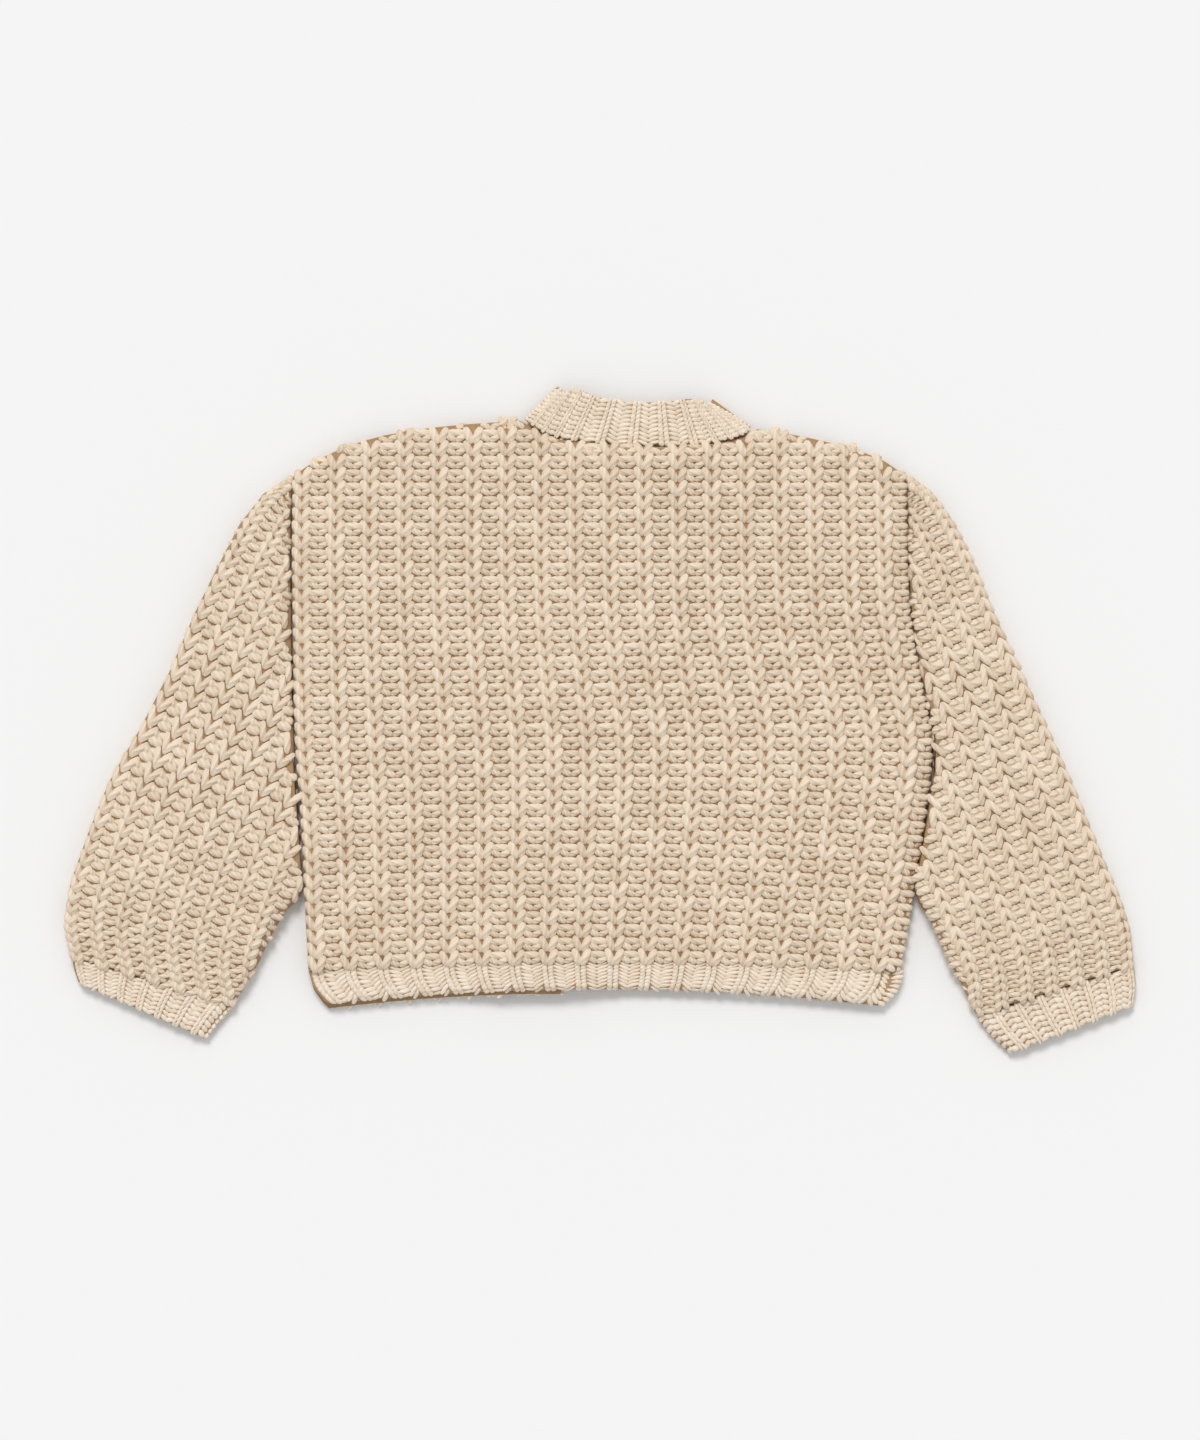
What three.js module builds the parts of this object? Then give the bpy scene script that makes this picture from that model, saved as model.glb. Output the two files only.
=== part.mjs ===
// A child's chunky cardigan, laid flat on a table with its fronts down and its back up.
// X runs from the left sleeve to the right one, Y from the hem to the neck, Z up. Millimetres.
// Each knitted panel is a wall of cloth: the two fronts lie on the table, the back lies on
// them, and each sleeve and cuff is a flattened tube, open at both ends.
import * as THREE from 'three';

const { clamp, lerp, smoothstep } = THREE.MathUtils;

// ---- Cloth ----
const CLOTH = 6; // the thick rib knit of the body and sleeves
const RIB = 4; // the finer rib of the neckband, hems, cuffs and front bands
const SEAM = 0.3; // between two pieces that are sewn together
const LAYER = 0.5; // between two layers that lie on each other
const LIP = 1; // what is left of a panel's thickness at its rounded edge
const ROUND = 6; // how far in from an edge the rounding reaches
const UPPER = CLOTH + LAYER; // underside of the back
const FULL = UPPER + CLOTH; // top of the back, and of a sleeve

// ---- Body outline ----
// The edges of the laid body at each height, from the hem seam to the shoulder tips.
const SIDES = [
  { y: -150, left: -174, right: 180 },
  { y: -105, left: -176.5, right: 188 },
  { y: -60, left: -178.5, right: 195 },
  { y: -15, left: -182, right: 200 },
  { y: 20, left: -183, right: 194 },
  { y: 60, left: -183.5, right: 187 },
  { y: 100, left: -184, right: 185 },
  { y: 146, left: -183, right: 184 },
];
const HEM_SIDE_Y = -150;
const TIP_Y = 146;
const UNDERARM_Y = -24;
const SLEEVE_FREE_Y = -105; // below this the sleeve lies clear of the body
const ARMHOLE_STEPS = 8;
const SIDE_STEPS = 3;
const LOWER_STEPS = 2;

const LEFT_SHOULDER = [
  { x: -183, y: 146 },
  { x: -168, y: 156 },
  { x: -144, y: 166 },
  { x: -120, y: 172 },
  { x: -84, y: 176.5 },
  { x: -47, y: 179 },
];
const RIGHT_SHOULDER = [
  { x: 95, y: 174 },
  { x: 120, y: 170 },
  { x: 144, y: 164.5 },
  { x: 168, y: 156.5 },
  { x: 184, y: 146 },
];
const BACK_NECK = [
  { x: -47, y: 179 },
  { x: -32, y: 171 },
  { x: -6, y: 166 },
  { x: 24, y: 163.5 },
  { x: 54, y: 163.7 },
  { x: 80, y: 167.5 },
  { x: 95, y: 174 },
];
const NECK = { left: -47, leftY: 179, right: 95, rightY: 174, frontDrop: 48 };
const NECK_STEPS = 12;

// ---- Hem ----
const HEM_SAG = { top: -145, topDrop: 5, bottom: -161.5, bottomDrop: 9.5, half: 175 };
const HEM_TAPER = 0.93; // width of the hem's free edge to that of its seam
const FRONT_HEM_EXTRA = { left: 2.4, right: -1.2 }; // how much longer than the back

// ---- Front overlap: the right band lies under the left one, its buttons on the table ----
const OVERLAP = { topX: 20, topY: 130, bottomX: -38, bottomY: -170 };
const BAND_HALF = 14;
const BAND_RAMP = 45; // how far to the side the layers rise towards the bands
const BUTTON = { radius: 9, thickness: 2.6, rim: 0.9, shank: 1.6, count: 5, hole: 17, slot: 4.2 };
const RIGHT_BAND_LOW = BUTTON.thickness + SEAM;
const LEFT_BAND_LOW = RIGHT_BAND_LOW + RIB + SEAM;
const BANDS_TOP = LEFT_BAND_LOW + RIB;
const LEFT_RISE = BANDS_TOP - CLOTH;
const RIGHT_RISE = RIGHT_BAND_LOW + RIB - CLOTH;

// ---- Soft folds of the back: ridges of cloth from one end to the other ----
const BACK_FOLDS = [
  { fromX: -166, fromY: 112, toX: -163, toY: -92, reach: 11, rise: 4 },
  { fromX: -139, fromY: 118, toX: -136, toY: 12, reach: 12, rise: 1.6 },
  { fromX: -128, fromY: -62, toX: -122, toY: -128, reach: 16, rise: 3 },
  { fromX: -92, fromY: 120, toX: -84, toY: -20, reach: 17, rise: 1.6 },
  { fromX: 104, fromY: -56, toX: 122, toY: -126, reach: 17, rise: 2.6 },
  { fromX: 132, fromY: 90, toX: 140, toY: 0, reach: 13, rise: 1.5 },
  { fromX: 172, fromY: 100, toX: 184, toY: -14, reach: 10, rise: 4.2 },
  { fromX: 183, fromY: -26, toX: 172, toY: -104, reach: 10, rise: 3.4 },
];

// ---- Sleeves: a row for each section, from the armhole to the cuff seam ----
const LEFT_SLEEVE = [
  { outerX: -183.3, outerY: 146, innerX: -182, innerY: -24, top: FULL },
  { outerX: -205, outerY: 130, innerX: -180, innerY: -51, top: FULL },
  { outerX: -223, outerY: 99, innerX: -178, innerY: -78, top: 13.4 },
  { outerX: -244, outerY: 60, innerX: -177, innerY: -105, top: 14 },
  { outerX: -265, outerY: 12, innerX: -184, innerY: -111, top: 14 },
  { outerX: -292, outerY: -34, innerX: -191, innerY: -121, top: 14 },
  { outerX: -309, outerY: -76, innerX: -199, innerY: -136, top: 13.6 },
  { outerX: -320.5, outerY: -114, innerX: -207, innerY: -153, top: 12.5 },
  { outerX: -316.5, outerY: -142, innerX: -219, innerY: -171, top: 10 },
];
const RIGHT_SLEEVE = [
  { outerX: 184.3, outerY: 146, innerX: 199, innerY: -24, top: FULL },
  { outerX: 204, outerY: 131, innerX: 196, innerY: -51, top: FULL },
  { outerX: 222, outerY: 99, innerX: 193, innerY: -78, top: 13.4 },
  { outerX: 238, outerY: 60, innerX: 188.3, innerY: -105, top: 14 },
  { outerX: 260, outerY: 14, innerX: 194, innerY: -113, top: 14 },
  { outerX: 280, outerY: -30, innerX: 201, innerY: -126, top: 14 },
  { outerX: 299, outerY: -76, innerX: 208, innerY: -141, top: 13.6 },
  { outerX: 316, outerY: -118, innerX: 216, innerY: -157, top: 12.5 },
  { outerX: 320.5, outerY: -147, innerX: 226, innerY: -177, top: 10 },
];
const LEFT_SLEEVE_FOLDS = [
  { fromX: -196, fromY: 40, toX: -232, toY: -60, reach: 18, rise: 1.8 },
  { fromX: -256, fromY: -40, toX: -282, toY: -108, reach: 22, rise: 2.4 },
  { fromX: -190, fromY: -98, toX: -222, toY: -160, reach: 7, rise: 2.8 },
];
const RIGHT_SLEEVE_FOLDS = [
  { fromX: 214, fromY: 60, toX: 240, toY: -20, reach: 16, rise: 1.8 },
  { fromX: 262, fromY: -40, toX: 290, toY: -116, reach: 22, rise: 2.2 },
  { fromX: 224, fromY: -88, toX: 256, toY: -172, reach: 8, rise: 2.8 },
];
const SLEEVE_RINGS = 12;

// ---- Cuffs: the section at the sleeve seam, halfway and at the free edge ----
const LEFT_CUFF = [
  { outerX: -316, outerY: -142.4, innerX: -219.4, innerY: -171.4, top: 8.5 },
  { outerX: -314.5, outerY: -150, innerX: -228, innerY: -181, top: 8.5 },
  { outerX: -312, outerY: -157.5, innerX: -235.5, innerY: -191, top: 8 },
];
const RIGHT_CUFF = [
  { outerX: 320.8, outerY: -147.4, innerX: 226.3, innerY: -177.5, top: 8.5 },
  { outerX: 322, outerY: -158.5, innerX: 234.5, innerY: -189, top: 8.5 },
  { outerX: 320.5, outerY: -170.5, innerX: 246, innerY: -200, top: 8 },
];

// ---- Neckband: its seam edge and its free edge along the back of the neck ----
const NECKBAND_BACK = [
  { step: 0.55, topX: -21.5, topY: 195.5 },
  { step: 1.4, topX: -13, topY: 197.5 },
  { step: 2.6, topX: -2, topY: 193.5 },
  { step: 4, topX: 10, topY: 190.5 },
  { step: 6, topX: 26, topY: 189.7 },
  { step: 8, topX: 42, topY: 190.3 },
  { step: 9.6, topX: 54, topY: 192 },
  { step: 10.7, topX: 61, topY: 190.5 },
  { step: 11.4, topX: 65, topY: 187.5 },
];
const NECKBAND_HEIGHT = 26;
const NECKBAND_LOW = UPPER + LAYER; // underside of the part behind the neck
const FOLD_STEPS = 6;
const FRONT_NECK_STEPS = 10;

// ---- Finishes ----
const KNIT = { color: 0xe2cbb2, roughness: 0.95, metalness: 0 };
const RIB_KNIT = { color: 0xe0ccb2, roughness: 0.95, metalness: 0 };
const HORN = { color: 0xd8c19a, roughness: 0.45, metalness: 0 };

// ---- Small helpers ----
// A smooth value between the rows of a table whose key column rises.
function smoothBetween(rows, key, column, at) {
  const last = rows.length - 1;
  let i = 0;
  while (i < last - 1 && at > rows[i + 1][key]) {
    i += 1;
  }
  const slope = (k) => {
    const before = rows[Math.max(k - 1, 0)];
    const after = rows[Math.min(k + 1, last)];
    return (after[column] - before[column]) / (after[key] - before[key]);
  };
  const span = rows[i + 1][key] - rows[i][key];
  const t = clamp((at - rows[i][key]) / span, 0, 1);
  const keep = 2 * t ** 3 - 3 * t ** 2 + 1;
  const start = (t ** 3 - 2 * t ** 2 + t) * span * slope(i);
  const end = (t ** 3 - t ** 2) * span * slope(i + 1);
  return keep * rows[i][column] + start + (1 - keep) * rows[i + 1][column] + end;
}

// A smooth value between the rows of a table, at a row number that may be a fraction.
function smoothRow(rows, column, at) {
  return smoothBetween(rows.map((row, row_number) => ({ ...row, row_number })), 'row_number', column, at);
}

function steps(from, to, count) {
  return Array.from({ length: count + 1 }, (_, i) => lerp(from, to, i / count));
}

// 0 at an edge and 1 from ROUND inwards, along a quarter circle.
function rounded(inset) {
  return Math.sqrt(1 - (1 - clamp(inset / ROUND, 0, 1)) ** 2);
}

function foldRise(folds, x, y) {
  let rise = 0;
  for (const fold of folds) {
    const alongX = fold.toX - fold.fromX;
    const alongY = fold.toY - fold.fromY;
    const t = ((x - fold.fromX) * alongX + (y - fold.fromY) * alongY) / (alongX ** 2 + alongY ** 2);
    const near = clamp(t, 0, 1);
    const away = Math.hypot(x - fold.fromX - near * alongX, y - fold.fromY - near * alongY);
    rise += fold.rise * Math.exp(-((away / fold.reach) ** 2));
  }
  return rise;
}

// A closed mesh from points and faces, turned so that its faces point outwards.
function solid(points, faces) {
  let volume = 0;
  for (const [a, b, c] of faces) {
    volume += points[a].dot(new THREE.Vector3().crossVectors(points[b], points[c]));
  }
  const outward = volume > 0 ? faces : faces.map(([a, b, c]) => [a, c, b]);
  const geometry = new THREE.BufferGeometry();
  geometry.setAttribute('position', new THREE.Float32BufferAttribute(points.flatMap((p) => p.toArray()), 3));
  geometry.setIndex(outward.flat());
  geometry.computeVertexNormals();
  return geometry;
}

function quad(faces, a, b, c, d) {
  faces.push([a, b, c], [a, c, d]);
}

// A wall of cloth from rows of { x, y, low, high }, closed all round its border.
function wall(rows) {
  const columns = rows[0].length;
  const under = rows.length * columns;
  const points = [
    ...rows.flat().map((p) => new THREE.Vector3(p.x, p.y, p.high)),
    ...rows.flat().map((p) => new THREE.Vector3(p.x, p.y, p.low)),
  ];
  const faces = [];
  for (let r = 0; r + 1 < rows.length; r += 1) {
    for (let c = 0; c + 1 < columns; c += 1) {
      const a = r * columns + c;
      quad(faces, a, a + 1, a + columns + 1, a + columns);
      quad(faces, under + a, under + a + columns, under + a + columns + 1, under + a + 1);
    }
  }
  const border = [];
  for (let c = 0; c < columns - 1; c += 1) {
    border.push(c);
  }
  for (let r = 0; r < rows.length - 1; r += 1) {
    border.push(r * columns + columns - 1);
  }
  for (let c = columns - 1; c > 0; c -= 1) {
    border.push((rows.length - 1) * columns + c);
  }
  for (let r = rows.length - 1; r > 0; r -= 1) {
    border.push(r * columns);
  }
  border.forEach((a, i) => {
    const b = border[(i + 1) % border.length];
    quad(faces, a, under + a, under + b, b);
  });
  return solid(points, faces);
}

// A pipe from rings that each hold an outer and an inner loop of points, open at both ends.
function pipe(rings) {
  const around = rings[0].outer.length;
  const inside = rings.length * around;
  const points = [...rings.flatMap((ring) => ring.outer), ...rings.flatMap((ring) => ring.inner)];
  const faces = [];
  const end = (rings.length - 1) * around;
  for (let i = 0; i < around; i += 1) {
    const j = (i + 1) % around;
    for (let r = 0; r < end; r += around) {
      quad(faces, r + i, r + j, r + around + j, r + around + i);
      quad(faces, inside + r + i, inside + r + around + i, inside + r + around + j, inside + r + j);
    }
    quad(faces, i, inside + i, inside + j, j);
    quad(faces, end + i, end + j, inside + end + j, inside + end + i);
  }
  return solid(points, faces);
}

// A bar from four-cornered sections, closed at both ends.
function bar(sections) {
  const points = sections.flat();
  const faces = [];
  const end = points.length - 4;
  for (let s = 0; s < end; s += 4) {
    for (let i = 0; i < 4; i += 1) {
      const j = (i + 1) % 4;
      quad(faces, s + i, s + j, s + 4 + j, s + 4 + i);
    }
  }
  quad(faces, 0, 3, 2, 1);
  quad(faces, end, end + 1, end + 2, end + 3);
  return solid(points, faces);
}

function piece(name, geometry, finish) {
  const mesh = new THREE.Mesh(geometry, new THREE.MeshStandardMaterial(finish));
  mesh.name = name;
  return mesh;
}

// ---- Body lines ----
const leftSide = (y) => smoothBetween(SIDES, 'y', 'left', y);
const rightSide = (y) => smoothBetween(SIDES, 'y', 'right', y);
const centreX = (y) => {
  return OVERLAP.bottomX + ((OVERLAP.topX - OVERLAP.bottomX) * (y - OVERLAP.bottomY)) / (OVERLAP.topY - OVERLAP.bottomY);
};
const hemSeamY = (x) => HEM_SAG.top - HEM_SAG.topDrop * (x / HEM_SAG.half) ** 2;
const hemEdgeY = (x) => HEM_SAG.bottom - HEM_SAG.bottomDrop * (x / HEM_SAG.half) ** 2;

function shoulderY(x) {
  const shoulder = x < 0 ? LEFT_SHOULDER : RIGHT_SHOULDER;
  return smoothBetween(shoulder, 'x', 'y', x);
}

function backTopY(x) {
  const inNeck = x > NECK.left && x < NECK.right;
  return inNeck ? smoothBetween(BACK_NECK, 'x', 'y', x) : shoulderY(x);
}

function frontTopY(x) {
  if (x < NECK.left || x > NECK.right) {
    return shoulderY(x);
  }
  const across = (2 * (x - NECK.left)) / (NECK.right - NECK.left) - 1;
  const level = lerp(NECK.leftY, NECK.rightY, (across + 1) / 2);
  return level - NECK.frontDrop * Math.sqrt(1 - across ** 2);
}

// How far the layers over the front bands are raised at a place, from 0 to 1.
function bandRamp(x, y, leftOnly = false, rightOnly = false) {
  const away = x - centreX(y);
  const half = BAND_HALF + SEAM;
  const onLeft = smoothstep(away, -half - BAND_RAMP, -half);
  const onRight = 1 - smoothstep(away, half, half + BAND_RAMP);
  if (leftOnly) {
    return onLeft;
  }
  return rightOnly ? onRight : Math.min(onLeft, onRight);
}

// The side heights of the rows of a panel: those at the armhole match the sleeve's end.
const SIDE_ROWS = [
  ...steps(HEM_SIDE_Y, SLEEVE_FREE_Y, LOWER_STEPS).slice(0, -1),
  ...steps(SLEEVE_FREE_Y, UNDERARM_Y, SIDE_STEPS).slice(0, -1),
  ...steps(UNDERARM_Y, TIP_Y, ARMHOLE_STEPS).slice(0, -1),
  TIP_Y - ROUND,
  TIP_Y - ROUND * 0.3,
  TIP_Y,
];

// Where the columns of a panel stand along its top edge, with close ones at its rounded edges.
function topColumns(from, to, count, roundFrom, roundTo) {
  const all = steps(from, to, count);
  const inner = all.slice(1, -1);
  const starts = roundFrom ? [from, from + ROUND * 0.3, from + ROUND] : [from];
  const ends = roundTo ? [to - ROUND, to - ROUND * 0.3, to] : [to];
  return [...starts, ...inner, ...ends];
}

// A panel's rows of places. Its rows are level at the hem and take the top edge's shape above.
function panelPlaces(columns, topY, fromX, toX) {
  const first = columns[0];
  const last = columns[columns.length - 1];
  return SIDE_ROWS.map((sideY) => {
    const level = (sideY - HEM_SIDE_Y) / (TIP_Y - HEM_SIDE_Y);
    const rowY = (topX) => {
      const share = (topX - first) / (last - first);
      const hemX = lerp(fromX(HEM_SIDE_Y), toX(HEM_SIDE_Y), share);
      const upper = (topY(topX) - TIP_Y) * level ** 2;
      const lower = (hemSeamY(hemX) - HEM_SIDE_Y) * (1 - level) ** 2;
      return sideY + upper + lower;
    };
    const startX = fromX(rowY(first));
    const endX = toX(rowY(last));
    return columns.map((topX) => {
      const x = lerp(startX, endX, (topX - first) / (last - first));
      return { x, y: rowY(topX), fromEdge: x - startX, toEdge: endX - x, topEdge: TIP_Y - sideY };
    });
  });
}

// ---- Back ----
const backColumns = [
  ...topColumns(leftSide(TIP_Y), NECK.left, 10, true, false),
  ...steps(NECK.left, NECK.right, NECK_STEPS).slice(1, -1),
  ...topColumns(NECK.right, rightSide(TIP_Y), 7, false, true),
];

function backLow(x, y, keep) {
  return UPPER + LEFT_RISE * bandRamp(x, y) + foldRise(BACK_FOLDS, x, y) * keep;
}

function backPanel() {
  const places = panelPlaces(backColumns, backTopY, leftSide, rightSide);
  const rows = places.map((row) => row.map((p) => {
    const inset = Math.min(p.fromEdge, p.toEdge, p.topEdge);
    const keep = smoothstep(inset, 0, 2 * ROUND) * smoothstep(p.y, HEM_SIDE_Y, HEM_SIDE_Y + 30);
    const low = backLow(p.x, p.y, keep);
    return { x: p.x, y: p.y, low, high: low + LIP + (CLOTH - LIP) * rounded(inset) };
  }));
  return piece('back', wall(rows), KNIT);
}

// ---- Fronts ----
function frontPanel(name, columns, fromX, toX, rise, ramp, sideEdge) {
  const places = panelPlaces(columns, frontTopY, fromX, toX);
  const rows = places.map((row) => row.map((p) => {
    const inShoulder = p.x < NECK.left || p.x > NECK.right;
    const inset = Math.min(p[sideEdge], inShoulder ? p.topEdge : ROUND);
    const high = CLOTH + rise * ramp(p.x, p.y);
    return { x: p.x, y: p.y, low: high - LIP - (CLOTH - LIP) * rounded(inset), high };
  }));
  return piece(name, wall(rows), KNIT);
}

// Columns round a front's share of the neckline, close together where it is steep.
function neckColumns(from, to, count) {
  const middle = (NECK.left + NECK.right) / 2;
  const half = (NECK.right - NECK.left) / 2;
  const angle = (x) => Math.acos(clamp((x - middle) / half, -1, 1));
  return steps(angle(from), angle(to), count).map((a) => middle + half * Math.cos(a));
}

// Where the edge of a front band meets the neckline.
function meetingX(bandEdge) {
  let x = OVERLAP.topX;
  for (let i = 0; i < 8; i += 1) {
    x = bandEdge(frontTopY(x));
  }
  return x;
}

function leftFront() {
  const bandEdge = (y) => centreX(y) - BAND_HALF - SEAM;
  const meetX = meetingX(bandEdge);
  const columns = [
    ...topColumns(leftSide(TIP_Y), NECK.left, 9, true, false).slice(0, -1),
    ...neckColumns(NECK.left, meetX, 6),
  ];
  const ramp = (x, y) => bandRamp(x, y, true);
  return frontPanel('left_front', columns, leftSide, bandEdge, LEFT_RISE, ramp, 'fromEdge');
}

function rightFront() {
  const bandEdge = (y) => centreX(y) + BAND_HALF + SEAM;
  const meetX = meetingX(bandEdge);
  const columns = [
    ...neckColumns(meetX, NECK.right, 6).slice(0, -1),
    ...topColumns(NECK.right, rightSide(TIP_Y), 7, false, true),
  ];
  const ramp = (x, y) => bandRamp(x, y, false, true);
  return frontPanel('right_front', columns, bandEdge, rightSide, RIGHT_RISE, ramp, 'toEdge');
}

// ---- Hems: each starts a seam below its panel and ends at the free edge ----
function hem(name, seamXs, extra, shape, cutX = null) {
  const rows = [1, 0.85, 0.5, 0].map((down) => seamXs.map((seamX) => {
    const y = lerp(hemSeamY(seamX) - SEAM, hemEdgeY(seamX) - extra, down);
    const taper = lerp(1, HEM_TAPER, down ** 2);
    const x = cutX === null ? seamX * taper : cutX(seamX, taper, y);
    const inset = (1 - down) * (hemSeamY(seamX) - hemEdgeY(seamX));
    return { x, y, ...shape(x, y, inset) };
  }));
  return piece(name, wall(rows), RIB_KNIT);
}

function backHem() {
  const xs = topColumns(leftSide(HEM_SIDE_Y), rightSide(HEM_SIDE_Y), 24, true, true);
  const left = xs[0];
  const right = xs[xs.length - 1];
  const shape = (x, y, inset) => {
    const sideInset = Math.min(x - left * HEM_TAPER, right * HEM_TAPER - x);
    const edge = Math.min(inset, Math.max(sideInset, 0));
    const low = UPPER + LAYER + LEFT_RISE * bandRamp(x, y);
    return { low, high: low + LIP + (RIB - LIP) * rounded(edge) };
  };
  return hem('back_hem', xs, 0, shape);
}

// A front hem tapers at its side seam and stays straight beside its band.
function frontHem(name, sideX, bandEdge, extra, rise, ramp) {
  const bandX = bandEdge(hemSeamY(bandEdge(HEM_SAG.top)));
  const xs = sideX < bandX ? topColumns(sideX, bandX, 12, true, false) : topColumns(bandX, sideX, 12, false, true);
  const shape = (x, y) => {
    const edge = Math.abs(sideX * HEM_TAPER - x);
    const high = RIB + rise * ramp(x, y);
    return { low: high - LIP - (RIB - LIP) * rounded(edge), high };
  };
  const cutX = (seamX, taper, y) => {
    const share = (seamX - bandX) / (sideX - bandX);
    return lerp(bandEdge(y), sideX * taper, share);
  };
  return hem(name, xs, extra, shape, cutX);
}

function leftFrontHem() {
  return frontHem('left_front_hem', leftSide(HEM_SIDE_Y), (y) => centreX(y) - BAND_HALF - SEAM,
    FRONT_HEM_EXTRA.left, BANDS_TOP - RIB, (x, y) => bandRamp(x, y, true));
}

function rightFrontHem() {
  return frontHem('right_front_hem', rightSide(HEM_SIDE_Y), (y) => centreX(y) + BAND_HALF + SEAM,
    FRONT_HEM_EXTRA.right, RIGHT_BAND_LOW, (x, y) => bandRamp(x, y, false, true));
}

// ---- Front bands and buttons ----
function bandShape(lowY, topYAtLeft, topYAtRight) {
  const shape = new THREE.Shape();
  shape.moveTo(centreX(lowY) - BAND_HALF, lowY);
  shape.lineTo(centreX(lowY) + BAND_HALF, lowY);
  shape.lineTo(centreX(topYAtRight) + BAND_HALF, topYAtRight);
  shape.lineTo(centreX(topYAtLeft) - BAND_HALF, topYAtLeft);
  shape.closePath();
  return shape;
}

const BAND_TOP_Y = frontTopY(OVERLAP.topX) - 1.5;
const BUTTON_YS = steps(HEM_SAG.bottom + 22, BAND_TOP_Y - 18, BUTTON.count - 1);

function frontBand(name, low, extra, holes) {
  const shape = bandShape(hemEdgeY(OVERLAP.bottomX) - extra, BAND_TOP_Y, BAND_TOP_Y);
  if (holes) {
    for (const y of BUTTON_YS) {
      const half = BUTTON.hole / 2;
      const slot = BUTTON.slot / 2;
      const x = centreX(y);
      const hole = new THREE.Path();
      hole.moveTo(x - half, y - slot);
      hole.lineTo(x - half, y + slot);
      hole.lineTo(x + half, y + slot);
      hole.lineTo(x + half, y - slot);
      hole.closePath();
      shape.holes.push(hole);
    }
  }
  const geometry = new THREE.ExtrudeGeometry(shape, { depth: RIB, bevelEnabled: false });
  geometry.translate(0, 0, low);
  return piece(name, geometry, RIB_KNIT);
}

// A button and the thread shank that holds it, through its hole, to the left band.
function button(number, y) {
  const { radius, thickness, rim, shank } = BUTTON;
  const profile = [
    [0, 0.6],
    [radius * 0.6, 0.6],
    [radius * 0.72, 0],
    [radius - rim / 2, 0],
    [radius, rim],
    [radius, thickness - rim],
    [radius - rim, thickness],
    [shank, thickness],
    [shank, LEFT_BAND_LOW - SEAM],
    [0, LEFT_BAND_LOW - SEAM],
  ].map(([r, z]) => new THREE.Vector2(r, z));
  const geometry = new THREE.LatheGeometry(profile, 12);
  geometry.rotateX(Math.PI / 2);
  const mesh = piece(`button_${number}`, geometry, HORN);
  mesh.position.set(centreX(y), y, 0);
  return mesh;
}

// ---- Sleeves and cuffs ----
// How far in from a fold each point across a flattened tube stands, and its share of the width.
function acrossStations(width, count) {
  const edge = [0, ROUND * 0.3, ROUND];
  const middle = steps(0, width, count).slice(1, -1);
  const ends = edge.map((inset) => width - inset).reverse();
  return [...edge, ...middle, ...ends];
}

// A ring of a flattened tube: up and over its outer loop, and the thin gap between its layers.
function flatRing(section, place, folds, endRound) {
  const { outer, inner, top, bottom } = section;
  const width = outer.distanceTo(inner);
  const middle = (top + bottom) / 2;
  const half = (top - bottom) / 2;
  const hollow = LAYER / 2;
  const lumenEdge = CLOTH * 0.7;
  const over = [];
  const under = [];
  const overInner = [];
  const underInner = [];
  const stations = acrossStations(width, ARMHOLE_STEPS);
  stations.forEach((inset, i) => {
    const edge = Math.min(inset, width - inset);
    const at = place(inset / width);
    const lift = foldRise(folds, at.x, at.y) * smoothstep(edge, 0, 2 * ROUND) * endRound;
    over.push(new THREE.Vector3(at.x, at.y, middle + half * rounded(edge) + lift));
    under.push(new THREE.Vector3(at.x, at.y, middle - half * rounded(edge)));
    const innerInset = lumenEdge + (inset * (width - 2 * lumenEdge)) / width;
    const within = place(innerInset / width);
    const open = i === 0 || i === stations.length - 1 ? 0 : 1;
    const innerLift = foldRise(folds, within.x, within.y) * smoothstep(Math.min(innerInset, width - innerInset), 0, 2 * ROUND);
    overInner.push(new THREE.Vector3(within.x, within.y, middle + (hollow + innerLift * endRound) * open));
    underInner.push(new THREE.Vector3(within.x, within.y, middle - hollow * open));
  });
  const loop = (upper, lower) => [...upper, ...lower.slice(1, -1).reverse()];
  return { outer: loop(over, under), inner: loop(overInner, underInner) };
}

function sleeve(name, rows, folds, sideX, side) {
  const last = rows.length - 1;
  const firstStep = 20;
  const ends = [0, (ROUND * 0.3) / firstStep, ROUND / firstStep];
  const rings = [...ends, ...steps(0, last, SLEEVE_RINGS - 1).filter((at) => at > 0.5)];
  const pipeRings = rings.map((at) => {
    const outer = new THREE.Vector2(smoothRow(rows, 'outerX', at), smoothRow(rows, 'outerY', at));
    const inner = new THREE.Vector2(smoothRow(rows, 'innerX', at), smoothRow(rows, 'innerY', at));
    // Beside the body, the sleeve's inner edge keeps a seam's width from it.
    if (at <= SIDE_STEPS) {
      inner.y = lerp(UNDERARM_Y, SLEEVE_FREE_Y, at / SIDE_STEPS);
      inner.x = sidePolyline(sideX, inner.y) + side * SEAM;
    }
    const atSeam = rounded(at * firstStep);
    const top = lerp(UPPER - LAYER / 2 + 1.5, smoothRow(rows, 'top', at), atSeam);
    const bottom = lerp(UPPER - LAYER / 2 - 1.5, 0, atSeam);
    // Near the armhole the sections bend as the body's edge does.
    const hug = clamp(1.5 - at / 2, 0, 1);
    const clear = at > 0 ? 5 * SEAM : 2 * SEAM;
    const place = (share) => {
      const straight = outer.clone().lerp(inner, share);
      const up = clamp((straight.y - inner.y) / (rows[0].outerY - inner.y), 0, 1);
      const bend = sidePolyline(sideX, straight.y) + side * clear - lerp(inner.x, rows[0].outerX, up);
      return new THREE.Vector2(straight.x + bend * hug, straight.y);
    };
    return flatRing({ outer, inner, top, bottom }, place, folds, smoothstep(at, 0, 1));
  });
  return piece(name, pipe(pipeRings), KNIT);
}

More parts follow.
